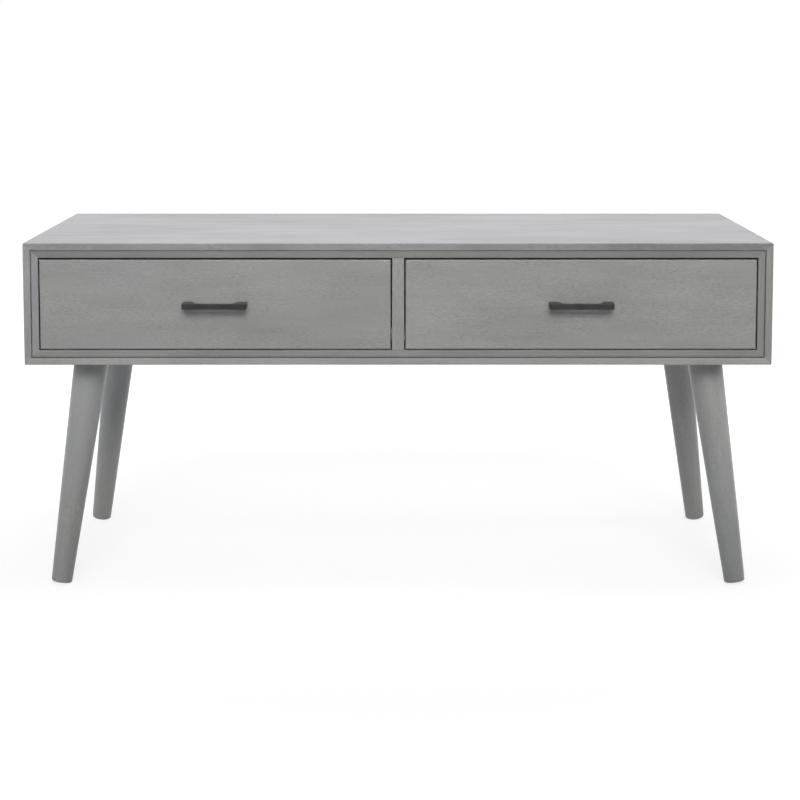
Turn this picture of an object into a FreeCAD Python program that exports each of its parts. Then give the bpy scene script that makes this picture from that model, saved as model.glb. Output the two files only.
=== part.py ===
"""Coffee table with two drawers on splayed legs, as a parametric document.

Millimetres, +Z up, the front faces -Y. The floor is z = 0, and the origin lies under the middle
of the whole outline, handles included.
"""
import FreeCAD, Part
import os
import re
import Sketcher

# Driving dimensions, one cell each in the document's sheet
SIZES = {
    # Case boards
    "case_width": 1100,
    "case_depth": 550,
    "case_height": 180,
    "table_height": 520,
    "case_board": 22,
    "corner_chamfer": 1.2,
    "case_edge_round": 1.2,
    "back_board": 9,
    "back_lap": 9,
    "back_recess": 1,
    "back_fit": 0.3,
    "partition_housing": 4,
    # Bead frame and centre stile
    "bead_width": 11.5,
    "bead_depth": 16,
    "bead_recess": 2,
    "bead_round": 0.8,
    "shadow_width": 0.9,
    "shadow_depth": 4,
    "stile_width": 18,
    "stile_round": 1.2,
    # Legs, plates and bolts
    "leg_top_inset_x": 87.5,
    "leg_top_inset_y": 88,
    "leg_foot_inset_x": 41.5,
    "leg_foot_inset_y": 49,
    "leg_top_diameter": 51.5,
    "leg_foot_diameter": 31,
    "leg_foot_round": 4,
    "leg_top_chamfer": 1.5,
    "plate_drop": 8,
    "plate_size": 66,
    "plate_corner": 9,
    "plate_sheet": 2,
    "plate_cup_diameter": 40,
    "plate_screw_circle": 70,
    "bolt_diameter": 8,
    "bolt_in_leg": 34,
    "bolt_in_case": 9,
    "bolt_fit": 0.15,
    "bolt_hole_diameter": 15,
    "bolt_hole_depth": 13,
    # Drawer fronts and boxes
    "front_board": 18,
    "front_recess": 1,
    "front_round": 1.6,
    "front_side_gap": 1.8,
    "front_top_gap": 2.4,
    "front_bottom_gap": 1.4,
    "front_housing": 6,
    "box_side": 12,
    "box_back": 12,
    "box_back_gap": 59,
    "box_lift": 14,
    "box_top_gap": 26,
    "box_edge_round": 2.5,
    "bottom_board": 5,
    "bottom_rise": 9,
    "bottom_groove": 5,
    "bottom_fit": 0.4,
    # Handles
    "handle_length": 94,
    "handle_height": 8.2,
    "handle_projection": 30,
    "handle_bar": 8,
    "handle_post": 14,
    "handle_shoulder": 4.5,
    "handle_inner_round": 5,
    "handle_corner_round": 2.5,
    "handle_edge_round": 0.8,
    "handle_screw_spacing": 76,
    "handle_screw_depth": 11,
    # Roller runners
    "runner_gap": 12.7,
    "runner_setback": 3,
    "runner_end_gap": 9,
    "runner_hold": 160,
    "runner_sheet": 1.2,
    "runner_flange": 9,
    "track_width": 10,
    "flange_play": 0.5,
    "web_play": 1.4,
    "stop_height": 5,
    "stop_play": 0.5,
    "notch_clearance": 2,
    # Rollers and their axles
    "rear_roller_diameter": 16,
    "front_roller_diameter": 18,
    "roller_width": 5.5,
    "roller_offset": 3.6,
    "roller_chamfer": 0.6,
    "roller_play": 0.25,
    "roller_side_play": 0.25,
    "axle_diameter": 5,
    "axle_fit": 0.3,
    "axle_head_diameter": 8,
    "axle_head": 0.7,
    "axle_setback": 14,
    # Screws
    "screw_diameter": 4,
    "screw_fit": 0.15,
    "screw_tip": 3,
    "plate_screw_head_diameter": 8,
    "plate_screw_head": 2.4,
    "plate_screw_length": 17,
    "rail_screw_head_diameter": 7,
    "rail_screw_head": 1,
    "rail_screw_depth": 8,
    "handle_screw_head_diameter": 8.5,
    "handle_screw_head": 2.6,
    # One overrun for all cuts
    "overrun": 4,
}

# Places along a rail, as shares of its length, that take a screw
RAIL_SCREW_SHARES = (0.16, 0.5, 0.84)
# A screw head's flat top, as a share of its radius, and the height of its rim
HEAD_FLAT_SHARE = 0.55
HEAD_RIM_SHARE = 0.5
# How near an edge lies to a place that is looked up, as a share of the case's width
NEAR_SHARE = 1e-5

# Places and sizes that follow from the driving dimensions
DERIVED = {
    "case_bottom": "table_height - case_height",
    "case_middle": "table_height - case_height/2",
    "front_y": "(handle_projection - front_recess - case_depth)/2",
    "inner_floor": "case_bottom + case_board",
    "inner_height": "case_height - 2*case_board",
    "band": "case_board - bead_width",
    "bead_back": "bead_recess + bead_depth",
    "back_front": "case_depth - back_recess - back_board",
    "compartment": "(case_width - 2*case_board - stile_width)/2",
    "drawer_x": "(stile_width + compartment)/2",
    "front_width": "compartment - 2*front_side_gap",
    "front_height": "inner_height - front_top_gap - front_bottom_gap",
    "box_y": "front_y + front_recess + front_board",
    "box_z": "inner_floor + box_lift",
    "box_height": "inner_height - box_lift - box_top_gap",
    "box_width": "compartment - 2*runner_gap",
    "box_inside": "box_width - 2*box_side",
    "box_length": "back_front - front_recess - front_board - box_back_gap",
    "bottom_top": "bottom_rise + bottom_board",
    "front_z": "inner_floor + front_bottom_gap",
    "handle_z": "front_z + front_height/2",
    "rail_y": "box_y + runner_setback",
    "runner_length": "box_length - runner_setback - runner_end_gap",
    "drawer_travel": "runner_length - runner_hold",
    "track_z": "box_z - runner_sheet",
    "track_height": "rear_roller_diameter + 2*roller_play",
    "running_z": "track_height + runner_sheet + flange_play",
    "front_roller_z": "running_z - roller_play - front_roller_diameter/2",
    "rear_roller_z": "rear_roller_diameter/2 + roller_play",
    "rear_axle_y": "runner_length - axle_setback",
    "axle_reach": "roller_offset + roller_width + roller_side_play",
    "rear_axle_reach": "runner_gap - roller_offset + roller_side_play",
    "stop_gap": "rear_roller_diameter/2 + stop_play",
    "screw_hole": "screw_diameter/2 + screw_fit",
    "splay_x": "leg_top_inset_x - leg_foot_inset_x",
    "splay_y": "leg_top_inset_y - leg_foot_inset_y",
    "leg_tilt": "atan(hypot(splay_x; splay_y)/case_bottom)",
    "leg_yaw": "atan(splay_y/splay_x)",
    "foot_inner": "leg_foot_diameter/2 - leg_foot_round",
    "foot_z": "leg_foot_round + foot_inner*sin(leg_tilt) - leg_foot_round*cos(leg_tilt)",
    "leg_length": "(case_bottom - plate_drop - foot_z)/cos(leg_tilt)",
    "leg_x": "case_width/2 - leg_top_inset_x",
    "cup_radius": "plate_cup_diameter/2",
    "cup_height": "plate_drop/cos(leg_tilt) + cup_radius*tan(leg_tilt) + overrun",
    "seat_out": "plate_drop*tan(leg_tilt)",
    "bolt_up": "(plate_drop + bolt_in_case)/cos(leg_tilt)",
    "bolt_hole": "bolt_diameter/2 + bolt_fit",
}

LEVEL = "rotation(0; 0; 0)"
UPSIDE_DOWN = "rotation(0; 180; 0)"
FACING_LEFT = "rotation(0; -90; 0)"
FACING_RIGHT = "rotation(0; 90; 0)"
FACING_BACK = "rotation(0; 0; -90)"

# Sides of a drawer, with the sign of the way from the case towards the drawer
HANDS = {"left": 1, "right": -1}
# Drawers, with the sign of their place in X
DRAWERS = {"left": -1, "right": 1}
# Legs, with the signs of their corner in X and Y
CORNERS = {
    "front_left": (-1, -1),
    "front_right": (1, -1),
    "rear_left": (-1, 1),
    "rear_right": (1, 1),
}

WORD = re.compile(r"[a-z][a-z_]*")

doc = FreeCAD.newDocument("CoffeeTable")
sheet = doc.addObject("Spreadsheet::Sheet", "Sizes")
for row, (alias, number) in enumerate(SIZES.items(), start=1):
    sheet.set(f"A{row}", alias)
    sheet.set(f"B{row}", str(number))
    sheet.setAlias(f"B{row}", alias)
doc.recompute()

sub_parts = []


def full(expression):
    """Write out an expression, with every size pointed at the sheet."""

    def spell(found):
        word = found.group()
        if word in SIZES:
            return "Sizes." + word
        if word in DERIVED:
            return "(" + full(DERIVED[word]) + ")"
        return word

    return WORD.sub(spell, str(expression))


def value(expression):
    """The number that an expression stands for now."""
    result = sheet.evalExpression(full(expression))
    return float(getattr(result, "Value", result))


def bind(thing, name, expression):
    thing.setExpression(name, full(expression))


def place(thing, spot, turn=LEVEL):
    x, y, z = spot
    bind(thing, "Placement", f"placement(vector({x}; {y}; {z}); {turn})")


def new_body(label, spot, turn=LEVEL):
    """Start a sub-part that is modelled in its own frame and then stands at spot."""
    body = doc.addObject("PartDesign::Body", "Body_" + label)
    body.Label = label
    place(body, spot, turn)
    sub_parts.append(body)
    return body


def origin_plane(body, role):
    return next(plane for plane in body.Origin.OriginFeatures if plane.Role == role)


def outline(body, role, points):
    """A closed sketch of straight lines whose corners are bound to expressions."""
    sketch = body.newObject("Sketcher::SketchObject", body.Name + "_sketch")
    sketch.AttachmentSupport = [(origin_plane(body, role), "")]
    sketch.MapMode = "FlatFace"
    spots = [FreeCAD.Vector(value(x), value(y), 0) for x, y in points]
    count = len(points)
    for index in range(count):
        sketch.addGeometry(Part.LineSegment(spots[index], spots[(index + 1) % count]))
    for index in range(count):
        sketch.addConstraint(Sketcher.Constraint("Coincident", index, 2, (index + 1) % count, 1))
    for index, (x, y) in enumerate(points):
        for kind, expression, axis in (("DistanceX", x, -2), ("DistanceY", y, -1)):
            if str(expression) == "0":
                sketch.addConstraint(Sketcher.Constraint("PointOnObject", index, 1, axis))
                continue
            datum = Sketcher.Constraint(kind, -1, 1, index, 1, value(expression))
            number = sketch.addConstraint(datum)
            bind(sketch, f"Constraints[{number}]", expression)
    return sketch


def extrude(body, role, points, length, both_ways=False):
    """Pad an outline, on the XZ plane towards +Y and on the others along their normal."""
    pad = body.newObject("PartDesign::Pad", body.Name + "_pad")
    pad.Profile = outline(body, role, points)
    pad.Reversed = role == "XZ_Plane"
    pad.Midplane = both_ways
    bind(pad, "Length", length)
    return pad


def revolve(body, role, points, axis):
    turned = body.newObject("PartDesign::Revolution", body.Name + "_revolution")
    sketch = outline(body, role, points)
    turned.Profile = sketch
    turned.ReferenceAxis = (sketch, [axis])
    return turned


def block(body, way, corner, lengths):
    """Add a box to the body, or cut one from it; way is Additive or Subtractive."""
    step = body.newObject(f"PartDesign::{way}Box", body.Name + "_block")
    for name, expression in zip(("Length", "Width", "Height"), lengths):
        bind(step, name, expression)
    place(step, corner)
    return step


def rod(body, way, start, radius, length, turn=LEVEL):
    """Add a cylinder to the body, or cut one from it, from start along the turned +Z."""
    step = body.newObject(f"PartDesign::{way}Cylinder", body.Name + "_rod")
    bind(step, "Radius", radius)
    bind(step, "Height", length)
    place(step, start, turn)
    return step


def round_edges(body, radius, *spots):
    """Round the edges that lie wholly at one of the spots, such as dict(Y="0", Z="band")."""
    doc.recompute()
    base = body.Tip
    near = NEAR_SHARE * value("case_width")
    wanted = [{axis: value(place_at) for axis, place_at in spot.items()} for spot in spots]

    def lies_at(edge, spot):
        ends = [
            abs(getattr(edge.BoundBox, axis + end) - number)
            for axis, number in spot.items()
            for end in ("Min", "Max")
        ]
        return max(ends) < near

    names = [
        f"Edge{number}"
        for number, edge in enumerate(base.Shape.Edges, start=1)
        if any(lies_at(edge, spot) for spot in wanted)
    ]
    fillet = body.newObject("PartDesign::Fillet", body.Name + "_fillet")
    fillet.Base = (base, names)
    bind(fillet, "Radius", radius)
    return fillet


def screw(head_diameter, head, shank, length):
    """A round-headed screw: its head stands below z = 0 and its shank runs up to length."""
    head_radius = value(head_diameter) / 2
    head_height = value(head)
    radius = value(shank) / 2
    reach = value(length)
    profile = [
        (0, -head_height),
        (HEAD_FLAT_SHARE * head_radius, -head_height),
        (head_radius, -HEAD_RIM_SHARE * head_height),
        (head_radius, 0),
        (radius, 0),
        (radius, reach - value("screw_tip")),
        (0, reach),
        (0, -head_height),
    ]
    wire = Part.makePolygon([FreeCAD.Vector(x, 0, z) for x, z in profile])
    return Part.Face(wire).revolve(FreeCAD.Vector(), FreeCAD.Vector(0, 0, 1), 360)


def group(label, pattern, places):
    """One sub-part of many alike solids, each at a spot and a direction of its own +Z."""
    copies = []
    for spot, direction in places:
        copy = pattern.copy()
        base = FreeCAD.Vector(*(value(coordinate) for coordinate in spot))
        along = FreeCAD.Vector(*(value(coordinate) for coordinate in direction))
        turn = FreeCAD.Rotation(FreeCAD.Vector(0, 0, 1), along)
        copy.Placement = FreeCAD.Placement(base, turn)
        copies.append(copy)
    feature = doc.addObject("Part::Feature", "Group_" + label)
    feature.Label = label
    feature.Shape = Part.makeCompound(copies)
    sub_parts.append(feature)
    return feature


# Case


def flat_board(label, spot, turn):
    """Top or bottom board: mitred ends, rebates for the bead frame and back, a partition groove."""
    board = new_body(label, spot, turn)
    half = "case_width/2"
    extrude(
        board,
        "XZ_Plane",
        [
            (f"corner_chamfer - {half}", "0"),
            (f"{half} - corner_chamfer", "0"),
            (f"{half} - corner_chamfer/2", "-corner_chamfer/2"),
            (f"{half} - case_board", "-case_board"),
            ("stile_width/2", "-case_board"),
            ("stile_width/2", "partition_housing - case_board"),
            ("-stile_width/2", "partition_housing - case_board"),
            ("-stile_width/2", "-case_board"),
            (f"case_board - {half}", "-case_board"),
            (f"corner_chamfer/2 - {half}", "-corner_chamfer/2"),
        ],
        "case_depth",
    )
    round_edges(board, "case_edge_round", {"Y": "0", "Z": "0"}, {"Y": "case_depth", "Z": "0"})
    below = "-case_board - overrun"
    across = "case_width + 2*overrun"
    start = f"-{half} - overrun"
    front = (across, "bead_back + overrun", "bead_width + overrun")
    block(board, "Subtractive", (start, "-overrun", below), front)
    back = (across, "case_depth - back_front + overrun", "back_lap + overrun")
    block(board, "Subtractive", (start, "back_front", below), back)
    return board


def end_board(label, spot, turn):
    """Left or right board: mitred top and bottom, rebates for the bead frame and the back."""
    board = new_body(label, spot, turn)
    half = "case_height/2"
    extrude(
        board,
        "XZ_Plane",
        [
            ("0", f"corner_chamfer - {half}"),
            ("corner_chamfer/2", f"corner_chamfer/2 - {half}"),
            ("case_board", f"case_board - {half}"),
            ("case_board", f"{half} - case_board"),
            ("corner_chamfer/2", f"{half} - corner_chamfer/2"),
            ("0", f"{half} - corner_chamfer"),
        ],
        "case_depth",
    )
    round_edges(board, "case_edge_round", {"X": "0", "Y": "0"}, {"X": "0", "Y": "case_depth"})
    tall = "case_height + 2*overrun"
    start = f"-{half} - overrun"
    front = ("bead_width + overrun", "bead_back + overrun", tall)
    block(board, "Subtractive", ("band", "-overrun", start), front)
    back = ("back_lap + overrun", "case_depth - back_front + overrun", tall)
    block(board, "Subtractive", ("case_board - back_lap", "back_front", start), back)
    return board


def plain_board(label, spot, width, depth, height):
    """A square-edged board, centred on spot in X, standing on it in Z and behind it in Y."""
    board = new_body(label, spot)
    half = f"({width})/2"
    corners = [(f"-{half}", "0"), (half, "0"), (half, height), (f"-{half}", height)]
    extrude(board, "XZ_Plane", corners, depth)
    return board


def bead(label, length, spot, turn):
    """One mitred strip of the bead frame, its outer edge at z = 0 with a shadow groove."""
    strip = new_body(label, spot, turn)
    half = f"({length})/2"
    extrude(
        strip,
        "XZ_Plane",
        [
            (f"-{half}", "0"),
            (half, "0"),
            (f"{half} - bead_width", "-bead_width"),
            (f"bead_width - {half}", "-bead_width"),
        ],
        "bead_depth",
    )
    corner = (f"-{half} - overrun", "-overrun", "-shadow_width")
    groove = (f"{length} + 2*overrun", "shadow_depth + overrun", "shadow_width + overrun")
    block(strip, "Subtractive", corner, groove)
    edges = ({"Y": "0", "Z": "-shadow_width"}, {"Y": "0", "Z": "-bead_width"})
    round_edges(strip, "bead_round", *edges)
    return strip


def drill_end_board(board, hand):
    """Pilot holes for the rail on an end board's inner face, in the board's own frame."""
    for spot in rail_screw_spots():
        height = f"{hand}*(track_z + {spot[1]} - case_middle)"
        start = ("case_board - rail_screw_depth", f"rail_y + {spot[0]} - front_y", height)
        rod(board, "Subtractive", start, "screw_hole", "rail_screw_depth + overrun", FACING_RIGHT)


def drill_partition(board):
    """Pilot holes for the two rails, one on each face of the partition."""
    for hand in HANDS.values():
        for along, height in rail_screw_spots():
            start = (
                f"{hand}*(stile_width/2 - rail_screw_depth)",
                f"rail_y + {along} - front_y - bead_back",
                f"track_z + {height} - inner_floor + partition_housing",
            )
            turn = FACING_RIGHT if hand > 0 else FACING_LEFT
            rod(board, "Subtractive", start, "screw_hole", "rail_screw_depth + overrun", turn)


def rail_screw_spots():
    """Where a rail's screws go: along it from its front, and up from the track's floor."""
    return [(f"{share}*runner_length", "track_height/2") for share in RAIL_SCREW_SHARES]


def make_case():
    flat_board("top_panel", ("0", "front_y", "table_height"), LEVEL)
    bottom = flat_board("bottom_panel", ("0", "front_y", "case_bottom"), UPSIDE_DOWN)
    drill_bottom_board(bottom)
    left = end_board("left_end_panel", ("-case_width/2", "front_y", "case_middle"), LEVEL)
    drill_end_board(left, 1)
    right = end_board("right_end_panel", ("case_width/2", "front_y", "case_middle"), UPSIDE_DOWN)
    drill_end_board(right, -1)
    margin = "2*(case_board - back_lap + back_fit)"
    spot = ("0", "front_y + back_front", f"case_bottom + {margin}/2")
    plain_board("back_panel", spot, f"case_width - {margin}", "back_board", f"case_height - {margin}")
    spot = ("0", "front_y + bead_back", "inner_floor - partition_housing")
    tall = "inner_height + 2*partition_housing"
    partition = plain_board("centre_partition", spot, "stile_width", "back_front - bead_back", tall)
    drill_partition(partition)


def make_bead_frame():
    front = "front_y + bead_recess"
    wide = "case_width - 2*band"
    tall = "case_height - 2*band"
    bead("bead_top", wide, ("0", front, "table_height - band"), LEVEL)
    bead("bead_bottom", wide, ("0", front, "case_bottom + band"), UPSIDE_DOWN)
    bead("bead_left", tall, ("band - case_width/2", front, "case_middle"), FACING_LEFT)
    bead("bead_right", tall, ("case_width/2 - band", front, "case_middle"), FACING_RIGHT)
    spot = ("0", "front_y + front_recess", "inner_floor")
    stile = plain_board("centre_stile", spot, "stile_width", "bead_back - front_recess", "inner_height")
    edges = ({"X": "-stile_width/2", "Y": "0"}, {"X": "stile_width/2", "Y": "0"})
    round_edges(stile, "stile_round", *edges)


# Legs


def leg_turn(side, depth):
    """The compass direction in which a leg splays, as an expression."""
    turn = f"{side * depth}*leg_yaw"
    return turn if side > 0 else f"180 deg + {turn}"


def leg_top(side, depth):
    """Where a leg's axis meets the underside of the case, in X and Y."""
    middle = "front_y + case_depth/2"
    return f"{side}*leg_x", f"{middle} + {depth}*(case_depth/2 - leg_top_inset_y)"


def leg_seat(side, depth):
    """The middle of the leg's top, where it seats against its plate."""
    x, y = leg_top(side, depth)
    turn = leg_turn(side, depth)
    return f"{x} + seat_out*cos({turn})", f"{y} + seat_out*sin({turn})", "case_bottom - plate_drop"


def plate_screw_spots(side, depth):
    """The four screws of a leg plate, in X and Y."""
    x, y = leg_top(side, depth)
    for quarter in range(4):
        angle = f"({leg_turn(side, depth)} + {45 + 90 * quarter} deg)"
        radius = "plate_screw_circle/2"
        yield f"{x} + {radius}*cos{angle}", f"{y} + {radius}*sin{angle}"


def drill_bottom_board(board):
    """Holes for the bolts' ends and pilot holes for the plate screws, from below."""
    for side, depth in CORNERS.values():
        x, y = leg_top(side, depth)
        start = (f"-({x})", f"{y} - front_y", "-bolt_hole_depth")
        rod(board, "Subtractive", start, "bolt_hole_diameter/2", "bolt_hole_depth + overrun")
        for x, y in plate_screw_spots(side, depth):
            start = (f"-({x})", f"{y} - front_y", "-plate_screw_length")
            rod(board, "Subtractive", start, "screw_hole", "plate_screw_length + overrun")


def make_leg(corner, side, depth):
    """A turned taper, cut square to its axis at both ends, with a bore for its bolt."""
    turn = f"rotation({leg_turn(side, depth)}; -leg_tilt; 0)"
    leg = new_body(corner + "_leg", leg_seat(side, depth), turn)
    revolve(
        leg,
        "XZ_Plane",
        [
            ("bolt_hole", "0"),
            ("leg_top_diameter/2 - leg_top_chamfer", "0"),
            ("leg_top_diameter/2", "-leg_top_chamfer"),
            ("leg_foot_diameter/2", "-leg_length"),
            ("0", "-leg_length"),
            ("0", "-bolt_in_leg"),
            ("bolt_hole", "-bolt_in_leg"),
        ],
        "V_Axis",
    )
    round_edges(leg, "leg_foot_round", {"Z": "-leg_length"})
    return leg


def make_leg_plate(corner, side, depth):
    """A pressed plate: a flat flange with a tilted cup whose end seats the leg."""
    x, y = leg_top(side, depth)
    turn = f"rotation({leg_turn(side, depth)}; 0; 0)"
    plate = new_body(corner + "_leg_plate", (x, y, "case_bottom"), turn)
    half = "plate_size/2"
    short = "(plate_size/2 - plate_corner)"
    corners = [
        (f"-{short}", f"-{half}"),
        (short, f"-{half}"),
        (half, f"-{short}"),
        (half, short),
        (short, half),
        (f"-{short}", half),
        (f"-{half}", short),
        (f"-{half}", f"-{short}"),
    ]
    flange = extrude(plate, "XY_Plane", corners, "plate_sheet")
    flange.Reversed = True
    tilt = "rotation(0; -leg_tilt; 0)"
    rod(plate, "Additive", ("seat_out", "0", "-plate_drop"), "cup_radius", "cup_height", tilt)
    inside = (
        "seat_out - plate_sheet*sin(leg_tilt)",
        "0",
        "plate_sheet*cos(leg_tilt) - plate_drop",
    )
    rod(plate, "Subtractive", inside, "cup_radius - plate_sheet", "cup_height", tilt)
    above = ("-plate_size", "-plate_size", "0")
    block(plate, "Subtractive", above, ("2*plate_size", "2*plate_size", "cup_height + overrun"))
    below = ("seat_out + overrun*sin(leg_tilt)", "0", "-plate_drop - overrun*cos(leg_tilt)")
    rod(plate, "Subtractive", below, "bolt_hole", "plate_sheet + 2*overrun", tilt)
    for quarter in range(4):
        angle = f"({45 + 90 * quarter} deg)"
        radius = "plate_screw_circle/2"
        start = (f"{radius}*cos{angle}", f"{radius}*sin{angle}", "-plate_sheet - overrun")
        rod(plate, "Subtractive", start, "screw_hole", "plate_sheet + 2*overrun")


def make_legs():
    bolts = []
    screws = []
    for corner, (side, depth) in CORNERS.items():
        make_leg(corner, side, depth)
        make_leg_plate(corner, side, depth)
        turn = leg_turn(side, depth)
        up = (f"-sin(leg_tilt)*cos({turn})", f"-sin(leg_tilt)*sin({turn})", "cos(leg_tilt)")
        x, y, z = leg_seat(side, depth)
        low_end = tuple(f"{seat} - bolt_in_leg*({way})" for seat, way in zip((x, y, z), up))
        bolts.append((low_end, up))
        for x, y in plate_screw_spots(side, depth):
            screws.append(((x, y, "case_bottom - plate_sheet"), ("0", "0", "1")))
    stud = Part.makeCylinder(value("bolt_diameter") / 2, value("bolt_in_leg + bolt_up"))
    group("leg_bolts", stud, bolts)
    pattern = screw(
        "plate_screw_head_diameter",
        "plate_screw_head",
        "screw_diameter",
        "plate_screw_length + plate_sheet",
    )
    group("leg_plate_screws", pattern, screws)


# Drawers


def make_drawer_front(label, middle):
    """The show front, housed at the back for the sides and grooved for the bottom."""
    spot = (middle, "front_y + front_recess", "front_z")
    front = plain_board(label, spot, "front_width", "front_board", "front_height")
    edges = (
        {"Y": "0", "Z": "0"},
        {"Y": "0", "Z": "front_height"},
        {"Y": "0", "X": "-front_width/2"},
        {"Y": "0", "X": "front_width/2"},
    )
    round_edges(front, "front_round", *edges)
    inside = "front_board - front_housing"
    for hand in HANDS.values():
        near = "-box_width/2" if hand > 0 else "box_width/2 - box_side"
        corner = (near, inside, "box_z - front_z")
        block(front, "Subtractive", corner, ("box_side", "front_housing + overrun", "box_height"))
        start = (f"{hand}*handle_screw_spacing/2", "-overrun", "front_height/2")
        rod(front, "Subtractive", start, "screw_hole", "front_board + 2*overrun", FACING_BACK)
    corner = ("-box_inside/2", inside, "box_z + bottom_rise - front_z")
    block(front, "Subtractive", corner, ("box_inside", "front_housing + overrun", "bottom_board"))
    return front


def make_drawer_side(label, hand, outer_x):
    """A side board with a groove for the bottom, housed in the front."""
    side = new_body(label, (outer_x, "box_y - front_housing", "box_z"))
    deep = f"{hand}*(box_side - bottom_groove)"
    inner = f"{hand}*box_side"
    extrude(
        side,
        "XZ_Plane",
        [
            ("0", "0"),
            (inner, "0"),
            (inner, "bottom_rise"),
            (deep, "bottom_rise"),
            (deep, "bottom_top"),
            (inner, "bottom_top"),
            (inner, "box_height"),
            ("0", "box_height"),
        ],
        "box_length + front_housing",
    )
    edges = [{"X": x, "Z": "box_height"} for x in ("0", inner)]
    round_edges(side, "box_edge_round", *edges)
    for along, height in rail_screw_spots():
        start = (
            f"{hand}*rail_screw_depth",
            f"runner_setback + front_housing + {along}",
            f"{height} - runner_sheet",
        )
        turn = FACING_LEFT if hand > 0 else FACING_RIGHT
        rod(side, "Subtractive", start, "screw_hole", "rail_screw_depth + overrun", turn)
    return side


def make_handle(label, middle):
    """A cast bow handle: a bar on two posts that widen towards it, with eased edges."""
    handle = new_body(label, (middle, "front_y + front_recess", "handle_z"))
    half = "handle_length/2"
    post = "(handle_length/2 - handle_post)"
    reach = "(handle_projection - handle_bar)"
    extrude(
        handle,
        "XY_Plane",
        [
            (f"-{half}", "0"),
            (f"-{half}", "-handle_projection"),
            (half, "-handle_projection"),
            (half, "0"),
            (post, "0"),
            (f"{post} - handle_shoulder", f"-{reach}"),
            (f"handle_shoulder - {post}", f"-{reach}"),
            (f"-{post}", "0"),
        ],
        "handle_height",
        both_ways=True,
    )
    ends = ("-handle_length/2", "handle_length/2")
    corners = [{"X": end, "Y": "-handle_projection"} for end in ends]
    round_edges(handle, "handle_corner_round", *corners)
    bends = (f"{post} - handle_shoulder", f"handle_shoulder - {post}")
    inner = [{"X": bend, "Y": f"-{reach}"} for bend in bends]
    round_edges(handle, "handle_inner_round", *inner)
    rims = [{"Y": "-handle_projection", "Z": f"{sign}*handle_height/2"} for sign in (-1, 1)]
    round_edges(handle, "handle_edge_round", *rims)
    for sign in HANDS.values():
        start = (f"{sign}*handle_screw_spacing/2", "-handle_screw_depth", "0")
        rod(handle, "Subtractive", start, "screw_hole", "handle_screw_depth + overrun", FACING_BACK)
    return handle


def make_case_rail(label, hand, face_x):
    """A rolled channel on the case, with a roller's axle at the front and two end stops."""
    rail = new_body(label, (face_x, "rail_y", "track_z"))
    web = f"{hand}*runner_sheet"
    lip = f"{hand}*track_width"
    extrude(
        rail,
        "XZ_Plane",
        [
            ("0", "-runner_sheet"),
            (lip, "-runner_sheet"),
            (lip, "0"),
            (web, "0"),
            (web, "track_height"),
            (lip, "track_height"),
            (lip, "track_height + runner_sheet"),
            ("0", "track_height + runner_sheet"),
        ],
        "runner_length",
    )
    notch = "axle_setback + front_roller_diameter/2 + notch_clearance"
    width = "track_width - runner_sheet"
    near = "runner_sheet" if hand > 0 else "-track_width - overrun"
    corner = (near, "-overrun", "-runner_sheet - overrun")
    lengths = (f"{width} + overrun", f"{notch} + overrun", "track_height + 2*(runner_sheet + overrun)")
    block(rail, "Subtractive", corner, lengths)
    turn = FACING_RIGHT if hand > 0 else FACING_LEFT
    start = ("0", "axle_setback", "front_roller_z")
    rod(rail, "Additive", start, "axle_diameter/2", "axle_reach + axle_head", turn)
    start = (f"{hand}*axle_reach", "axle_setback", "front_roller_z")
    rod(rail, "Additive", start, "axle_head_diameter/2", "axle_head", turn)
    near = "runner_sheet" if hand > 0 else "-track_width"
    stops = ("rear_axle_y - drawer_travel - stop_gap - runner_sheet", "rear_axle_y + stop_gap")
    for along in stops:
        block(rail, "Additive", (near, along, "0"), (width, "runner_sheet", "stop_height"))
    for along, height in rail_screw_spots():
        start = (f"-{hand}*overrun", along, height)
        rod(rail, "Subtractive", start, "screw_hole", "runner_sheet + 2*overrun", turn)
    return rail


def make_drawer_rail(label, hand, outer_x):
    """A rolled section under a drawer side, with its running flange and a rear axle."""
    rail = new_body(label, (outer_x, "rail_y", "track_z"))
    web = f"-{hand}*runner_sheet"
    reach = f"-{hand}*(runner_gap - runner_sheet - web_play)"
    under = f"{hand}*runner_flange"
    extrude(
        rail,
        "XZ_Plane",
        [
            (web, "0"),
            (under, "0"),
            (under, "runner_sheet"),
            ("0", "runner_sheet"),
            ("0", "running_z + runner_sheet"),
            (reach, "running_z + runner_sheet"),
            (reach, "running_z"),
            (web, "running_z"),
        ],
        "runner_length",
    )
    turn = FACING_LEFT if hand > 0 else FACING_RIGHT
    start = ("0", "rear_axle_y", "rear_roller_z")
    rod(rail, "Additive", start, "axle_diameter/2", "rear_axle_reach + axle_head", turn)
    start = (f"-{hand}*rear_axle_reach", "rear_axle_y", "rear_roller_z")
    rod(rail, "Additive", start, "axle_head_diameter/2", "axle_head", turn)
    for along, height in rail_screw_spots():
        start = (f"{hand}*overrun", along, height)
        rod(rail, "Subtractive", start, "screw_hole", "runner_sheet + 2*overrun", turn)
    return rail


def make_roller(label, diameter, hand, face_x, along, height):
    """A roller on an axle along X, in its place between the case and the drawer."""
    near = "roller_offset" if hand > 0 else "-roller_offset - roller_width"
    roller = new_body(label, (f"{face_x} + {near}", f"rail_y + {along}", f"track_z + {height}"))
    bore = "axle_diameter/2 + axle_fit"
    rim = f"{diameter}/2"
    revolve(
        roller,
        "XY_Plane",
        [
            ("0", bore),
            ("roller_width", bore),
            ("roller_width", f"{rim} - roller_chamfer"),
            ("roller_width - roller_chamfer", rim),
            ("roller_chamfer", rim),
            ("0", f"{rim} - roller_chamfer"),
        ],
        "H_Axis",
    )
    return roller


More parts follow.
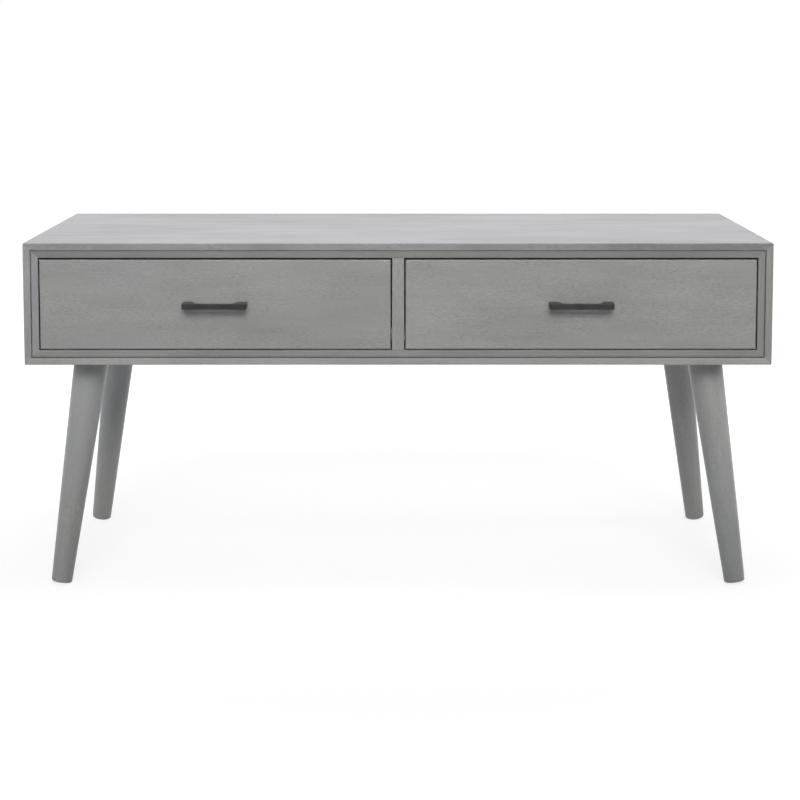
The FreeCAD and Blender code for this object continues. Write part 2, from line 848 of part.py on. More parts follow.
def make_drawer(drawer, sign):
    """One drawer, from its front to its rails, rollers and screws; returns its case screws."""
    name = drawer + "_drawer"
    middle = f"{sign}*drawer_x"
    make_drawer_front(name + "_front", middle)
    spot = (middle, "box_y + box_length - box_back", "box_z + bottom_top")
    plain_board(name + "_back", spot, "box_inside", "box_back", "box_height - bottom_top")
    spot = (middle, "box_y - front_housing + bottom_fit", "box_z + bottom_rise")
    length = "box_length + front_housing - bottom_fit"
    tray = plain_board(name + "_bottom", spot, "box_inside", length, "bottom_board")
    for hand in HANDS.values():
        tongue = "bottom_groove - bottom_fit"
        near = f"-box_inside/2 - ({tongue})" if hand > 0 else "box_inside/2"
        corner = (near, "front_housing - bottom_fit", "0")
        block(tray, "Additive", corner, (tongue, "box_length", "bottom_board"))
    make_handle(name + "_handle", middle)
    case_screws = []
    drawer_screws = []
    for side, hand in HANDS.items():
        face_x = f"{middle} - {hand}*compartment/2"
        outer_x = f"{face_x} + {hand}*runner_gap"
        make_drawer_side(f"{name}_{side}_side", hand, outer_x)
        make_case_rail(f"{name}_{side}_case_rail", hand, face_x)
        make_drawer_rail(f"{name}_{side}_rail", hand, outer_x)
        front = (hand, face_x, "axle_setback", "front_roller_z")
        make_roller(f"{name}_{side}_front_roller", "front_roller_diameter", *front)
        rear = (hand, face_x, "rear_axle_y", "rear_roller_z")
        make_roller(f"{name}_{side}_rear_roller", "rear_roller_diameter", *rear)
        for along, height in rail_screw_spots():
            spot = (f"{face_x} + {hand}*runner_sheet", f"rail_y + {along}", f"track_z + {height}")
            case_screws.append((spot, (f"-{hand}", "0", "0")))
            spot = (f"{outer_x} - {hand}*runner_sheet", *spot[1:])
            drawer_screws.append((spot, (f"{hand}", "0", "0")))
    group(name + "_rail_screws", rail_screw(), drawer_screws)
    pattern = screw(
        "handle_screw_head_diameter",
        "handle_screw_head",
        "screw_diameter",
        "front_board + handle_screw_depth",
    )
    spots = [
        ((f"{middle} + {hand}*handle_screw_spacing/2", "box_y", "handle_z"), ("0", "-1", "0"))
        for hand in HANDS.values()
    ]
    group(name + "_handle_screws", pattern, spots)
    return case_screws


def rail_screw():
    return screw(
        "rail_screw_head_diameter",
        "rail_screw_head",
        "screw_diameter",
        "rail_screw_depth + runner_sheet",
    )


make_case()
make_bead_frame()
make_legs()
case_rail_screws = []
for drawer_name, drawer_sign in DRAWERS.items():
    case_rail_screws += make_drawer(drawer_name, drawer_sign)
group("case_rail_screws", rail_screw(), case_rail_screws)
doc.recompute()

# Every feature has worked, every cut has taken something away, and every sub-part is sound
for thing in doc.Objects:
    failed = {"Invalid", "Error"} & set(thing.State)
    if failed:
        raise RuntimeError(f"{thing.Label} is {failed}")
    if "Subtractive" in thing.TypeId and thing.Shape.Volume >= thing.BaseFeature.Shape.Volume:
        raise RuntimeError(f"{thing.Label} cuts nothing")
for thing in sub_parts:
    if thing.Shape.isNull() or not thing.Shape.isValid():
        raise RuntimeError(f"{thing.Label} has no sound shape")

os.makedirs("parts", exist_ok=True)
for thing in sub_parts:
    thing.Shape.exportStep(f"parts/{thing.Label}.step")
print(len(sub_parts), "sub-parts written")
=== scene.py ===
"""Looks of the grey coffee table with two drawers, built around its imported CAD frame."""
import math

import bpy
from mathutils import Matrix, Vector


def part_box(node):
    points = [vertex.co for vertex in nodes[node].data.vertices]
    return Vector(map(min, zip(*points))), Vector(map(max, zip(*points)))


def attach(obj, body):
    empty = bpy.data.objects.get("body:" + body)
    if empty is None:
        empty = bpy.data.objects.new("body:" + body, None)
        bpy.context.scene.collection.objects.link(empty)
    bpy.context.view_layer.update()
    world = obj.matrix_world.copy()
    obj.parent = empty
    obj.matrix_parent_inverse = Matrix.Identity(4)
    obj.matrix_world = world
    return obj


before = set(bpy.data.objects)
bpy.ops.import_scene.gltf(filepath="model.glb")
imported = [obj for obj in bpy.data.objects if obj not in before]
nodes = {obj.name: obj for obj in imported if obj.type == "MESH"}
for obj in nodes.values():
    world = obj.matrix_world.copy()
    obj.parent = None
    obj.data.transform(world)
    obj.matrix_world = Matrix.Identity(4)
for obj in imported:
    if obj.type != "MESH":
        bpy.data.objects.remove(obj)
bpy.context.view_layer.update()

scene = bpy.context.scene
scene.view_settings.view_transform = "Standard"

MM = 0.001
ALONG_X = Vector((1, 0, 0))
ALONG_Y = Vector((0, 1, 0))
ALONG_Z = Vector((0, 0, 1))
SIDES = ("left", "right")


def rgba(red, green, blue):
    return (red, green, blue, 1.0)


# Shader graphs

# Ranges of a noise over which a look goes from one end of its own range to the other
NOISE_SPAN = (0.3, 0.7)
WIDE_SPAN = (0.25, 0.75)
NOISE_MIDDLE = 0.5


class Graph:
    """A material's node tree, with its shader and a point's place and normal at hand."""

    def __init__(self, name):
        self.material = bpy.data.materials.new(name)
        self.material.use_nodes = True
        self.tree = self.material.node_tree
        self.shader = self.tree.nodes["Principled BSDF"]
        coordinates = self.add("ShaderNodeTexCoord").outputs
        self.place = coordinates["Object"]
        self.normal = coordinates["Normal"]

    def add(self, kind, inputs=None, **settings):
        """Add a node; inputs maps socket names or numbers to values or to other sockets."""
        node = self.tree.nodes.new(kind)
        for name, setting in settings.items():
            setattr(node, name, setting)
        for name, given in (inputs or {}).items():
            self.put(node.inputs[name], given)
        return node

    def put(self, socket, given):
        """Link a socket to another one, or set its value."""
        if isinstance(given, bpy.types.NodeSocket):
            self.tree.links.new(given, socket)
        else:
            socket.default_value = given

    def finish(self, **inputs):
        """Set the shader's sockets, named with underscores for spaces, and return the material."""
        for name, given in inputs.items():
            title = name.replace("_", " ").title().replace("Ior", "IOR")
            self.put(self.shader.inputs[title], given)
        return self.material

    def math(self, operation, *values):
        node = self.add("ShaderNodeMath", dict(enumerate(values)), operation=operation)
        return node.outputs[0]

    def along(self, vector, axis):
        """How far a vector goes along an axis."""
        node = self.add("ShaderNodeVectorMath", {0: vector, 1: axis}, operation="DOT_PRODUCT")
        return node.outputs["Value"]

    def remap(self, factor, low, high, to_low=0.0, to_high=1.0, smooth=True):
        """Go from to_low to to_high as the factor goes from low to high."""
        kind = "SMOOTHSTEP" if smooth else "LINEAR"
        sockets = {
            "Value": factor,
            "From Min": low,
            "From Max": high,
            "To Min": to_low,
            "To Max": to_high,
        }
        return self.add("ShaderNodeMapRange", sockets, interpolation_type=kind).outputs["Result"]

    def swing(self, noise, at_low, at_high, span=NOISE_SPAN):
        """Go evenly from at_low to at_high as a noise rises through its span."""
        return self.remap(noise, *span, at_low, at_high, smooth=False)

    def blend_colours(self, factor, first, second):
        """A colour between two colours."""
        node = self.add("ShaderNodeMix", data_type="RGBA")
        colour_sockets = [socket for socket in node.inputs if socket.type == "RGBA"]
        self.put(node.inputs[0], factor)
        self.put(colour_sockets[0], first)
        self.put(colour_sockets[1], second)
        return next(socket for socket in node.outputs if socket.type == "RGBA")

    def scaled(self, colour, factor):
        node = self.add("ShaderNodeVectorMath", {0: colour, "Scale": factor}, operation="SCALE")
        return node.outputs["Vector"]

    def noise(self, where, detail=2.0, roughness=0.5, distortion=0.0, scale=1.0):
        sockets = {
            "Vector": where,
            "Scale": scale,
            "Detail": detail,
            "Roughness": roughness,
            "Distortion": distortion,
        }
        return self.add("ShaderNodeTexNoise", sockets).outputs["Fac"]

    def grain_noise(self, grain, start, size, **settings):
        """Noise drawn out along the grain; size is its length and width in millimetres."""
        length, width = size
        sockets = {
            "Vector": self.place,
            "Location": start,
            "Rotation": ALONG_X.rotation_difference(grain).to_euler(),
            "Scale": (length * MM, width * MM, width * MM),
        }
        where = self.add("ShaderNodeMapping", sockets, vector_type="TEXTURE").outputs["Vector"]
        return self.noise(where, **settings)

    def bump(self, height, distance, strength):
        sockets = {"Height": height, "Distance": distance, "Strength": strength}
        return self.add("ShaderNodeBump", sockets).outputs["Normal"]


# Stained wood

# Lengths and widths of its marks, along and across the grain, in millimetres
FIBRE_SIZE = (45, 2.2)
BAND_SIZE = (150, 26)
BLOTCH_SIZE = (170, 60)
FLECK_SIZE = (6, 1.7)
PATCH_SIZE = (80, 40)
DRIFT_SIZE = (420, 260)
# Ranges of a noise in which patches of flecks, pores and the drift of colour set in; pores do so
# where it falls
PATCH_SPAN = (0.36, 0.62)
PORE_SPAN = (0.36, 0.24)
DRIFT_SPAN = (0.35, 0.65)
# How squarely a surface faces along the grain where it turns to end grain, and along one of the
# axes where it turns from a rounded edge to a flat face
END_GRAIN_SPAN = (0.75, 0.95)
FLAT_SPAN = (0.9, 0.99)
# By what share fibre changes the tone, what pores take off it as a share of what flecks change, what
# end grain keeps of it, and what flecks keep of their strength between patches
FIBRE_SHARE = 0.04
PORE_SHARE = 0.6
END_GRAIN_SHARE = 0.75
BETWEEN_PATCHES_SHARE = 0.35
# How high fibre stands, as a share of a pore's depth
FIBRE_RELIEF_SHARE = 0.5
# The height, in metres, below which a leg gets darker, a painted shade where the light falls off
# towards the floor
FOOT_SHADE_HEIGHT = 0.26


def stained_wood(
    name, grain, start, lightness, cool, warm, flecks, bands,
    blotches=0.045, blotch_size=BLOTCH_SIZE, blotch_sheen=0.7, painted_edge_highlight=0.0, painted_foot_shade_share=1.0,
):
    """Grey-stained wood: flecks in patches, soft bands, blotches, pores and a satin lacquer.

    flecks, bands and blotches are the shares by which these change its tone, and blotch_sheen is
    how much blotches change its sheen for each change that bands make. Its rounded edges are
    paler by the share rubbed, a painted highlight, and at the floor it has painted_foot_shade_share of
    its tone, a painted shade where the light falls off towards the floor.
    """
    graph = Graph(name)

    def texture(size, **settings):
        return graph.grain_noise(grain, start, size, **settings)

    def vary(tone, noise, share):
        """The tone, made lighter and darker by a share with a noise."""
        return graph.math("MULTIPLY", tone, graph.swing(noise, 1.0 - share, 1.0 + share, WIDE_SPAN))

    fibre = texture(FIBRE_SIZE, detail=3.0, roughness=0.6, distortion=0.15)
    band = texture(BAND_SIZE, detail=3.0, roughness=0.6, distortion=0.4)
    blotch = texture(blotch_size, detail=2.0, roughness=0.5)
    patch = graph.remap(texture(PATCH_SIZE, detail=1.0), *PATCH_SPAN, BETWEEN_PATCHES_SHARE, 1.0)
    dash = texture(FLECK_SIZE, detail=2.0, roughness=0.55)
    fleck = graph.math("MULTIPLY", graph.swing(dash, -1.0, 1.0, WIDE_SPAN), patch)
    pore = graph.math("MULTIPLY", graph.remap(dash, *PORE_SPAN), patch)

    tone = graph.math("MULTIPLY_ADD", fleck, flecks, lightness)
    tone = vary(tone, fibre, FIBRE_SHARE)
    tone = vary(tone, band, bands)
    tone = vary(tone, blotch, blotches)
    in_pore = graph.remap(pore, 0.0, 1.0, 1.0, 1.0 - PORE_SHARE * flecks)
    tone = graph.math("MULTIPLY", tone, in_pore)

    # End grain drinks more stain
    squarely = graph.math("ABSOLUTE", graph.along(graph.normal, grain))
    end = graph.remap(squarely, *END_GRAIN_SPAN)
    tone = graph.math("MULTIPLY", tone, graph.remap(end, 0.0, 1.0, 1.0, END_GRAIN_SHARE))
    if painted_edge_highlight:
        # Painted highlight: rounded edges, where the normal leaves the axes, are made paler as if they
        # caught the light
        parts = graph.add("ShaderNodeSeparateXYZ", {0: graph.normal}).outputs
        sizes = [graph.math("ABSOLUTE", part) for part in parts]
        straight = graph.math("MAXIMUM", graph.math("MAXIMUM", sizes[0], sizes[1]), sizes[2])
        tone = graph.math("MULTIPLY", tone, graph.remap(straight, *FLAT_SPAN, 1.0 + painted_edge_highlight, 1.0))
    # Painted shade: a leg is made darker towards the floor, standing in for the light falling off there
    if painted_foot_shade_share < 1.0:
        height = graph.add("ShaderNodeSeparateXYZ", {0: graph.place}).outputs["Z"]
        shade = graph.remap(height, 0.0, FOOT_SHADE_HEIGHT, painted_foot_shade_share, 1.0, smooth=False)
        tone = graph.math("MULTIPLY", tone, shade)

    drift = graph.remap(texture(DRIFT_SIZE, detail=1.0), *DRIFT_SPAN)
    pits = graph.math("MULTIPLY", pore, -1.0)
    relief = graph.math("MULTIPLY_ADD", fibre, FIBRE_RELIEF_SHARE, pits)
    swell = graph.math("SUBTRACT", blotch, NOISE_MIDDLE)
    sheen = graph.math("MULTIPLY_ADD", swell, blotch_sheen, band)
    return graph.finish(
        base_color=graph.scaled(graph.blend_colours(drift, cool, warm), tone),
        roughness=graph.swing(blotch, 0.36, 0.46, WIDE_SPAN),
        specular_ior_level=graph.remap(sheen, 0.0, 1.0, 0.34, 0.66, smooth=False),
        normal=graph.bump(relief, distance=0.25 * MM, strength=0.35),
        coat_weight=graph.remap(sheen, 0.0, 1.0, 0.0, 0.24, smooth=False),
        coat_roughness=0.3,
    )


# The other materials

VENEER_DARK = rgba(0.62, 0.47, 0.30)
VENEER_PALE = rgba(0.71, 0.57, 0.40)
PLY_DARK = rgba(0.42, 0.29, 0.17)
PLY_PALE = rgba(0.66, 0.52, 0.35)
# The thickness of a dark and a pale ply together, and where their wave goes from dark to pale
PLY_PITCH = 3.4 * MM
PLY_SPAN = (-0.2, 0.2)
# Lengths and widths of the veneer's marks, in millimetres
VENEER_FIBRE_SIZE = (90, 2.4)
VENEER_BAND_SIZE = (320, 16)
VENEER_PORE_SIZE = (7, 1.0)
# The range of a noise in which the veneer's pores set in, and what they keep of its tone
VENEER_PORE_SPAN = (0.6, 0.76)
VENEER_PORE_SHARE = 0.84
# How squarely a surface faces along the board's thickness where it turns from edge to veneer
VENEER_SPAN = (0.5, 0.8)


def plywood(name, grain, thickness_axis, start):
    """Clear-lacquered plywood: a pale veneer, with its plies in stripes on the cut edges."""
    graph = Graph(name)

    def texture(size, **settings):
        return graph.grain_noise(grain, start, size, **settings)

    fibre = texture(VENEER_FIBRE_SIZE, detail=3.0, roughness=0.6, distortion=0.2)
    band = texture(VENEER_BAND_SIZE, detail=2.0, distortion=0.6)
    pore = graph.remap(texture(VENEER_PORE_SIZE, detail=1.0), *VENEER_PORE_SPAN)
    veneer = graph.blend_colours(graph.remap(band, *NOISE_SPAN), VENEER_DARK, VENEER_PALE)
    tone = graph.swing(fibre, 0.94, 1.06, WIDE_SPAN)
    in_pore = graph.remap(pore, 0.0, 1.0, 1.0, VENEER_PORE_SHARE)
    veneer = graph.scaled(veneer, graph.math("MULTIPLY", tone, in_pore))

    depth = graph.along(graph.place, thickness_axis)
    ply = graph.math("SINE", graph.math("MULTIPLY", depth, 2 * math.pi / PLY_PITCH))
    core = graph.blend_colours(graph.remap(ply, *PLY_SPAN), PLY_DARK, PLY_PALE)
    core = graph.scaled(core, graph.swing(fibre, 0.9, 1.08, WIDE_SPAN))
    squarely = graph.math("ABSOLUTE", graph.along(graph.normal, thickness_axis))
    on_face = graph.remap(squarely, *VENEER_SPAN)
    relief = graph.math("SUBTRACT", graph.math("MULTIPLY", fibre, FIBRE_RELIEF_SHARE), pore)
    return graph.finish(
        base_color=graph.blend_colours(on_face, core, veneer),
        roughness=graph.swing(band, 0.42, 0.52),
        normal=graph.bump(relief, distance=0.2 * MM, strength=0.3),
    )


GUNMETAL_DARK = rgba(0.016, 0.016, 0.018)
GUNMETAL_PALE = rgba(0.027, 0.027, 0.028)
RUB_SPAN = (0.35, 0.7)


def cast_metal(name):
    """Dark gunmetal finish on a casting: fine grit and a slightly worn, uneven sheen."""
    graph = Graph(name)
    grit = graph.noise(graph.place, scale=900.0, detail=2.0)
    rub = graph.noise(graph.place, scale=60.0, detail=3.0, roughness=0.6)
    colour = graph.blend_colours(graph.remap(rub, *RUB_SPAN), GUNMETAL_DARK, GUNMETAL_PALE)
    return graph.finish(
        base_color=graph.scaled(colour, graph.swing(grit, 0.9, 1.1)),
        metallic=0.3,
        specular_ior_level=0.3,
        roughness=graph.swing(rub, 0.5, 0.38),
        normal=graph.bump(grit, distance=0.08 * MM, strength=0.35),
    )


ZINC_BLUE = rgba(0.40, 0.42, 0.45)
ZINC_GREY = rgba(0.54, 0.54, 0.53)
CLOUD_SPAN = (0.35, 0.65)
# Length and width in millimetres
SCRATCH_SIZE = (6, 0.3)


def plated_steel(name):
    """Bright zinc plating: bluish bands and cloudy, softly brushed gloss."""
    graph = Graph(name)
    cloud = graph.noise(graph.place, scale=140.0, detail=3.0, roughness=0.6, distortion=0.4)
    scratch = graph.grain_noise(ALONG_Y, (0, 0, 0), SCRATCH_SIZE)
    colour = graph.blend_colours(graph.remap(cloud, *CLOUD_SPAN), ZINC_BLUE, ZINC_GREY)
    return graph.finish(
        base_color=graph.scaled(colour, graph.swing(scratch, 0.93, 1.05)),
        metallic=1.0,
        roughness=graph.swing(cloud, 0.28, 0.42),
        normal=graph.bump(scratch, distance=0.03 * MM, strength=0.25),
    )


COAT_CLEAN = rgba(0.78, 0.77, 0.73)
COAT_GRIMY = rgba(0.70, 0.69, 0.65)
GRIME_SPAN = (0.35, 0.7)


def powder_coat(name):
    """Off-white powder coat on rolled steel, with its orange-peel surface."""
    graph = Graph(name)
    peel = graph.noise(graph.place, scale=420.0, detail=1.0)
    grime = graph.noise(graph.place, scale=22.0, detail=3.0, roughness=0.6)
    return graph.finish(
        base_color=graph.blend_colours(graph.remap(grime, *GRIME_SPAN), COAT_CLEAN, COAT_GRIMY),
        roughness=graph.swing(grime, 0.3, 0.4),
        normal=graph.bump(peel, distance=0.08 * MM, strength=0.3),
    )


NYLON_DULL = rgba(0.75, 0.74, 0.70)
NYLON_PALE = rgba(0.82, 0.81, 0.78)


def nylon(name):
    """Moulded nylon with faint flow marks and a matt, slightly waxy surface."""
    graph = Graph(name)
    flow = graph.noise(graph.place, scale=170.0, detail=2.0, distortion=0.8)
    fine = graph.noise(graph.place, scale=1500.0, detail=1.0)
    return graph.finish(
        base_color=graph.blend_colours(graph.remap(flow, *NOISE_SPAN), NYLON_DULL, NYLON_PALE),
        roughness=graph.swing(flow, 0.45, 0.55),
        normal=graph.bump(fine, distance=0.03 * MM, strength=0.25),
        subsurface_weight=0.08,
    )


# Dressing the pieces


def paint(node, material):
    """Give a CAD node one material."""
    data = nodes[node].data
    data.materials.clear()
    data.materials.append(material)


# Greys of the stain: cool and warm ends of its slow drift, as linear colours
FRONT_COOL = rgba(0.226, 0.227, 0.229)
FRONT_WARM = rgba(0.230, 0.231, 0.219)
CASE_COOL = rgba(0.236, 0.237, 0.239)
CASE_WARM = rgba(0.242, 0.243, 0.233)
BEAD_COOL = rgba(0.190, 0.191, 0.191)
BEAD_WARM = rgba(0.196, 0.197, 0.187)
LEG_COOL = rgba(0.237, 0.243, 0.247)
LEG_WARM = rgba(0.247, 0.252, 0.246)
# Pieces that differ from their kind: the top has broader blotches and a stronger painted highlight on
# its rounded edges, the left end and bead are bluer, and the right end, the right bead and the stile
# are warmer
OWN_LOOKS = {
    "top_panel": {
        "bands": 0.1,
        "blotches": 0.09,
        "blotch_size": (190, 110),
        "blotch_sheen": 2.8,
        "painted_edge_highlight": 0.4,
    },
    # Painted light: the left end and bead are made bluer, for cool light falling from the left
    "left_end_panel": {"cool": rgba(0.240, 0.243, 0.258), "warm": rgba(0.246, 0.247, 0.254)},
    "bead_left": {"cool": rgba(0.199, 0.203, 0.213), "warm": rgba(0.203, 0.206, 0.210)},
    # Painted light: the right end and bead are made warmer, for warm light falling from the right
    "right_end_panel": {"cool": CASE_WARM},
    "bead_right": {"cool": BEAD_WARM},
    "centre_stile": {"cool": FRONT_WARM},
}
# How far the grain's pattern moves from one piece to the next, in metres
GRAIN_STEP = (0.37, 0.23, -0.31)


def leg_direction(leg):
    """The way along a leg, from the middles of the vertices in its lowest and highest thirds."""
    spots = [vertex.co for vertex in nodes[leg].data.vertices]
    low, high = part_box(leg)
    third = (high.z - low.z) / 3

    def middle(part):
        count = len(part)
        return Vector([sum(spot[axis] for spot in part) / count for axis in range(3)])

    top = middle([spot for spot in spots if spot.z > high.z - third])
    foot = middle([spot for spot in spots if spot.z < low.z + third])
    return (top - foot).normalized()


def dress_wood():
    # For each piece the way of its grain and how light its stain came out. The lightness also holds
    # painted
    # light and shade: the bottom and left beads are lighter, as if lit from below and from the left,
    # and the rear legs lighter, to lift the shade under the case
    boards = {
        "top_panel": (ALONG_X, 0.79),
        "bottom_panel": (ALONG_X, 1.09),
        "left_end_panel": (ALONG_Z, 0.92),
        "right_end_panel": (ALONG_Z, 0.9),
        "back_panel": (ALONG_X, 1.0),
    }
    beads = {
        "bead_top": (ALONG_X, 0.83),
        "bead_bottom": (ALONG_X, 0.97),
        "bead_left": (ALONG_Z, 1.09),
        "bead_right": (ALONG_Z, 0.87),
    }
    fronts = {
        "centre_stile": (ALONG_Z, 1.0),
        "left_drawer_front": (ALONG_X, 1.0),
        "right_drawer_front": (ALONG_X, 1.02),
    }
    legs = {
        "front_left_leg": (leg_direction("front_left_leg"), 1.0),
        "front_right_leg": (leg_direction("front_right_leg"), 1.02),
        "rear_left_leg": (leg_direction("rear_left_leg"), 1.22),
        "rear_right_leg": (leg_direction("rear_right_leg"), 1.08),
    }
    kinds = (
        (boards, {"cool": CASE_COOL, "warm": CASE_WARM, "flecks": 0.16, "bands": 0.07, "painted_edge_highlight": 0.1}),
        (beads, {"cool": BEAD_COOL, "warm": BEAD_WARM, "flecks": 0.1, "bands": 0.05, "painted_edge_highlight": 0.1}),
        (fronts, {"cool": FRONT_COOL, "warm": FRONT_WARM, "flecks": 0.19, "bands": 0.045}),
        # Legs keep painted_foot_shade_share of their tone at the floor, a painted shade
        (legs, {"cool": LEG_COOL, "warm": LEG_WARM, "flecks": 0.12, "bands": 0.06, "painted_foot_shade_share": 0.84}),
    )
    number = 0
    for kind, kind_looks in kinds:
        for node, (grain, lightness) in kind.items():
            number += 1
            start = [step * number for step in GRAIN_STEP]
            looks = {**kind_looks, **OWN_LOOKS.get(node, {})}
            paint(node, stained_wood(node + "_stain", grain, start, lightness, **looks))


def dress_drawers():
    sides = plywood("drawer_side_plywood", ALONG_Y, ALONG_X, start=(0.4, 0.1, 0.2))
    backs = plywood("drawer_back_plywood", ALONG_X, ALONG_Y, start=(0.1, 0.5, 0.3))
    bottoms = plywood("drawer_bottom_plywood", ALONG_X, ALONG_Z, start=(0.7, 0.2, 0.6))
    metal = cast_metal("handle_gunmetal")
    paint("centre_partition", plywood("partition_plywood", ALONG_Y, ALONG_X, start=(0.9, 0.3, 0.1)))
    for side in SIDES:
        drawer = side + "_drawer_"
        paint(drawer + "back", backs)
        paint(drawer + "bottom", bottoms)
        paint(drawer + "handle", metal)
        for hand in SIDES:
            paint(f"{drawer}{hand}_side", sides)


# The back board's screws, in millimetres: radius and height of each ring of a head, its recess, and
# how far it stands from the board's edges
HEAD_RINGS = ((3.3, 0.0), (3.3, 0.3), (2.8, 0.7), (2.2, 0.88))
RECESS_ARM = 1.7
RECESS_HALF_WIDTH = 0.4
RECESS_RIM = 0.9
RECESS_FLOOR = 0.3
SCREW_INSET = 4.6
# Where the screws of a row stand across the board, as shares of the row, and by how many radians
# each screw is turned from the one before
SCREW_SHARES = (0.0, 0.25, 0.5, 0.75, 1.0)
SCREW_TURN = 0.9


def screw_head(spot, turn):
    """Vertices and faces of a closed cross-recess head that looks to the back from the spot."""
    arm, half = RECESS_ARM, RECESS_HALF_WIDTH
    cross = []
    for quarter in range(4):
        across, up = math.cos(quarter * math.pi / 2), math.sin(quarter * math.pi / 2)
        for far, aside in ((arm, -half), (arm, half), (half, half)):
            cross.append((far * across - aside * up, far * up + aside * across))
    rings = []
    for radius, height in HEAD_RINGS:
        scales = [radius / math.hypot(u, v) for u, v in cross]
        rings.append([(u * scale, v * scale, height) for (u, v), scale in zip(cross, scales)])
    rings.append([(u, v, RECESS_RIM) for u, v in cross])
    rings.append([(u, v, RECESS_FLOOR) for u, v in cross])
    corners = []
    for u, v, height in sum(rings, []):
        across = u * math.cos(turn) - v * math.sin(turn)
        up = u * math.sin(turn) + v * math.cos(turn)
        corners.append(spot + Vector((-across, height, up)) * MM)
    count = len(cross)
    faces = [tuple(reversed(range(count))), tuple(range(len(corners) - count, len(corners)))]
    for ring in range(len(rings) - 1):
        for place in range(count):
            after = (place + 1) % count
            low, high = ring * count, (ring + 1) * count
            faces.append((low + place, low + after, high + after, high + place))
    return corners, faces


def back_screws():
    """The screws that hold the back board along its lap and on the partition, heads in its rebate."""
    low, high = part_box("back_panel")
    inset = SCREW_INSET * MM
    left, right = low.x + inset, high.x - inset
    middle = (low.z + high.z) / 2
    spots = [(left, middle), (0, middle), (right, middle)]
    for share in SCREW_SHARES:
        across = left + share * (right - left)
        spots += [(across, low.z + inset), (across, high.z - inset)]
    corners, faces = [], []
    for number, (x, z) in enumerate(spots):
        head_corners, head_faces = screw_head(Vector((x, high.y, z)), SCREW_TURN * number)
        faces += [tuple(len(corners) + place for place in face) for face in head_faces]
        corners += head_corners
    mesh = bpy.data.meshes.new("back_panel_screws")
    mesh.from_pydata(corners, [], faces)
    screws = bpy.data.objects.new("back_panel_screws", mesh)
    scene.collection.objects.link(screws)
    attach(screws, "case")
    return screws


def dress_hardware():
    zinc = plated_steel("zinc_plate")
    back_screws().data.materials.append(zinc)
    coat = powder_coat("runner_powder_coat")
    plastic = nylon("roller_nylon")
    for node in nodes:
        if node.endswith(("_screws", "_bolts", "_plate")):
            paint(node, zinc)
        elif node.endswith("_rail"):
            paint(node, coat)
        elif node.endswith("_roller"):
            paint(node, plastic)


# Stage, light and camera


def backdrop_share(tree):
    """1 for rays that show the background: from the camera, in gloss and through glass."""
    path = tree.nodes.new("ShaderNodeLightPath")
    total = path.outputs["Is Camera Ray"]
    for name in ("Is Glossy Ray", "Is Transmission Ray"):
        largest = tree.nodes.new("ShaderNodeMath")
        largest.operation = "MAXIMUM"
        tree.links.new(total, largest.inputs[0])
        tree.links.new(path.outputs[name], largest.inputs[1])
        total = largest.outputs[0]
    return total


WHITE = rgba(1, 1, 1)
FLOOR_HALF = 7.0
# What the camera and reflections see of the floor: its glow grows to white away from the table
GLOW_NEAR = 0.75
GLOW_NEAR_RADIUS = 0.75
GLOW_FAR_RADIUS = 1.5
FLOOR_SEEN = rgba(0.37, 0.37, 0.37)
# What the floor throws back as light
FLOOR_BOUNCE = rgba(0.78, 0.78, 0.78)
# What the world adds as light
AMBIENT = 0.12


def make_floor():
    mesh = bpy.data.meshes.new("floor")
    half = FLOOR_HALF
    corners = [(-half, -half, 0), (half, -half, 0), (half, half, 0), (-half, half, 0)]
    mesh.from_pydata(corners, [], [(0, 1, 2, 3)])
    floor = bpy.data.objects.new("floor", mesh)
    scene.collection.objects.link(floor)
    graph = Graph("studio_floor")
    share = backdrop_share(graph.tree)
    distance = graph.add("ShaderNodeVectorMath", {0: graph.place}, operation="LENGTH").outputs["Value"]
    glow = graph.remap(distance, GLOW_NEAR_RADIUS, GLOW_FAR_RADIUS, GLOW_NEAR, 1.0)
    mesh.materials.append(graph.finish(
        base_color=graph.blend_colours(share, FLOOR_BOUNCE, FLOOR_SEEN),
        roughness=1.0,
        specular_ior_level=0.0,
        emission_color=WHITE,
        emission_strength=graph.math("MULTIPLY", share, glow),
    ))


def make_world():
    world = bpy.data.worlds.new("studio")
    world.use_nodes = True
    tree = world.node_tree
    background = tree.nodes["Background"]
    background.inputs["Color"].default_value = WHITE
    level = tree.nodes.new("ShaderNodeMapRange")
    level.inputs["To Min"].default_value = AMBIENT
    level.inputs["To Max"].default_value = 1.0
    tree.links.new(backdrop_share(tree), level.inputs["Value"])
    tree.links.new(level.outputs["Result"], background.inputs["Strength"])
    scene.world = world


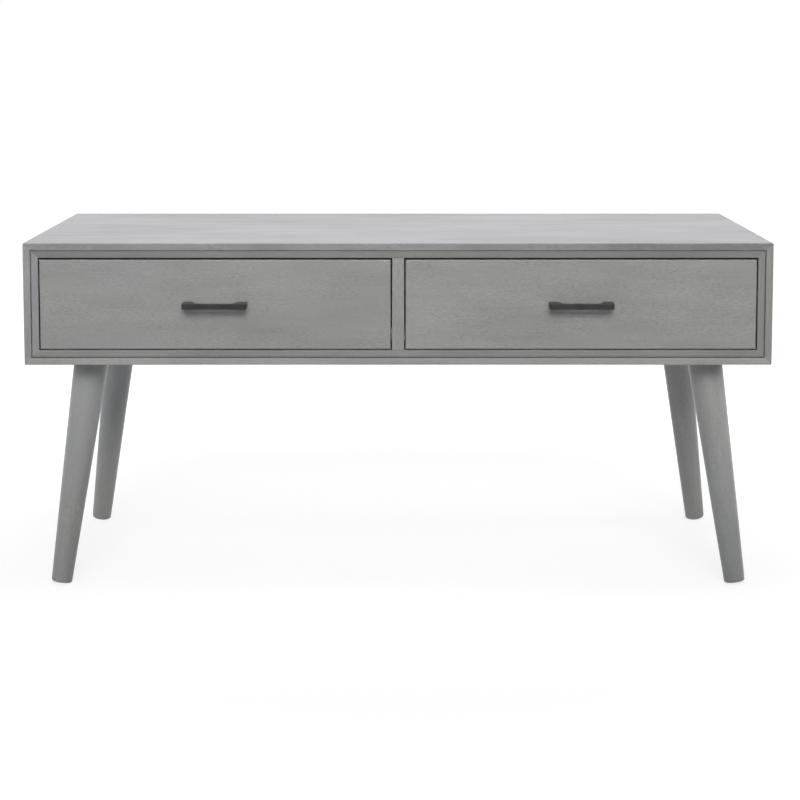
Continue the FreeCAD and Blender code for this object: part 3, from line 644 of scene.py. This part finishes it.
def make_light(name, spot, aim, size, power, colour=(1.0, 1.0, 1.0), spread=180):
    """An area light that faces its aim; lengths are in metres, power in watts, spread in degrees."""
    data = bpy.data.lights.new(name, "AREA")
    data.shape = "RECTANGLE"
    data.size, data.size_y = size
    data.energy = power
    data.color = colour
    data.spread = math.radians(spread)
    lamp = bpy.data.objects.new(name, data)
    lamp.location = spot
    lamp.rotation_euler = (Vector(aim) - Vector(spot)).to_track_quat("-Z", "Y").to_euler()
    lamp.visible_camera = False
    scene.collection.objects.link(lamp)


def make_lights():
    make_light(
        "key", spot=(0.1, -2.6, 1.64), aim=(0.0, -0.26, 0.6), size=(2.6, 1.1),
        power=7.5, colour=(1.0, 0.99, 0.96), spread=38,
    )
    make_light(
        "overhead", spot=(0.1, -0.15, 2.3), aim=(0.05, -0.1, 0.5), size=(2.2, 0.9),
        power=22.5, colour=(0.94, 0.89, 1.0),
    )
    make_light(
        "fill_left", spot=(-2.4, -2.0, 0.9), aim=(-0.2, 0.0, 0.42), size=(2.0, 1.4),
        power=1.4, colour=(0.80, 0.92, 1.0), spread=60,
    )
    make_light(
        "fill_right", spot=(2.4, -2.0, 1.4), aim=(0.2, 0.0, 0.46), size=(2.0, 1.6),
        power=1.1, colour=(1.0, 0.95, 0.80), spread=60,
    )
    make_light(
        "back", spot=(0.2, 2.6, 1.3), aim=(0.05, 0.2, 0.5), size=(3.2, 0.8),
        power=6.2, colour=(0.86, 0.83, 1.0),
    )
    make_light(
        "rear_fill", spot=(0.0, 2.6, 0.3), aim=(0.0, 0.28, 0.35), size=(2.4, 0.4),
        power=8.3, spread=90,
    )
    for side, name in ((-1, "side_left"), (1, "side_right")):
        make_light(
            name, spot=(side * 3.0, 0.4, 1.1), aim=(side * 0.5, 0.1, 0.5), size=(1.2, 0.6),
            power=1.5, spread=40,
        )


CAMERA_SPOT = (0.0005, -3.4805, 0.8187)
CAMERA_PITCH = math.radians(6.254)
CAMERA_YAW = math.radians(0.04)
CAMERA_LENS = 99.44
CAMERA_SHIFT = -0.15


def make_camera():
    data = bpy.data.cameras.new("camera")
    data.lens = CAMERA_LENS
    data.shift_y = CAMERA_SHIFT
    camera = bpy.data.objects.new("camera", data)
    camera.location = CAMERA_SPOT
    camera.rotation_euler = (math.pi / 2 - CAMERA_PITCH, 0, -CAMERA_YAW)
    scene.collection.objects.link(camera)
    scene.camera = camera


dress_wood()
dress_drawers()
dress_hardware()
make_floor()
make_world()
make_lights()
make_camera()
